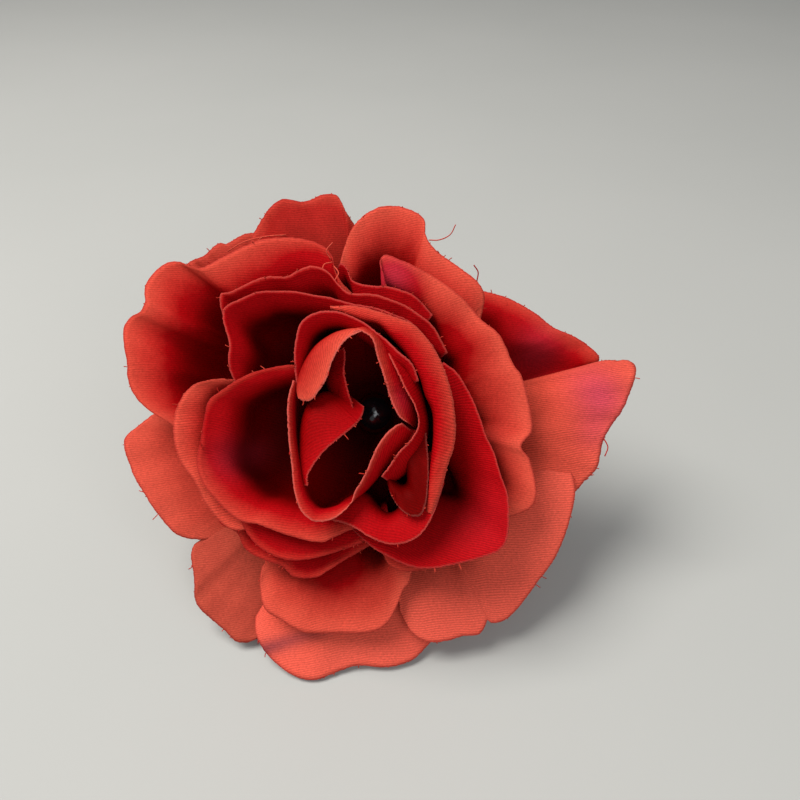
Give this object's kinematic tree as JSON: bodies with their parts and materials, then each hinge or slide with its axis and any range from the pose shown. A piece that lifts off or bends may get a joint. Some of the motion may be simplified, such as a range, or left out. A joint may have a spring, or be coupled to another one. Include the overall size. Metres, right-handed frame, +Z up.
{
  "type": "flower hair clip",
  "caption": "Full fabric rose with nested cupped petal layers on a plastic core, glued through a felt disc to a sprung steel alligator clip for hair.",
  "frame": {"origin": "on the surface that the clip lies on, under the middle of the whole object", "axes": "+Z up; +X across the rose, parallel to the clip's hinge pin; the rose faces -Y and 42 degrees up, and the clip is behind it, on the +Y side"},
  "size_m": [0.1082, 0.0762, 0.0767],
  "materials": {
    "inner_petals": "polyester satin with a fine twill rib, deep red",
    "outer_petals": "polyester satin with a fine twill rib, coral red",
    "collar_plastic": "moulded, satin",
    "cap_plastic": "glossy black",
    "calyx_plastic": "moulded, fine grain",
    "glue": "hot-melt glue, cloudy",
    "felt": "pressed felt",
    "clip_steel": "nickel plated sheet steel",
    "pin_steel": "riveted pin",
    "spring_steel": "drawn spring wire"
  },
  "bodies": {
    "rose": {"petal_layer_1_bud": "inner_petals", "petal_layer_2": "inner_petals", "petal_layer_3": "inner_petals", "petal_layer_4": "outer_petals", "petal_layer_5": "outer_petals", "petal_layer_6_outer": "outer_petals", "spacer_collar_1": "collar_plastic", "spacer_collar_2": "collar_plastic", "spacer_collar_3": "collar_plastic", "spacer_collar_4": "collar_plastic", "spacer_collar_5": "collar_plastic", "core_peg": "collar_plastic", "centre_cap": "cap_plastic", "calyx": "calyx_plastic", "glue_pad_front": "glue", "felt_backing": "felt", "glue_pad_rear": "glue", "clip_base": "clip_steel", "clip_pin": "pin_steel", "clip_spring": "spring_steel"},
    "prong": {"clip_prong": "clip_steel"}
  },
  "joints": [
    {"name": "clip_hinge", "type": "hinge", "parent": "rose", "child": "prong", "pos_m": [-0.0006, 0.02076, 0.01979], "axis": [-1, 0, 0], "range_deg": [0, 28], "stiffness_Nm_per_rad": 0.15, "springref_deg": -28.65, "deforming": ["clip_spring"]}
  ]
}
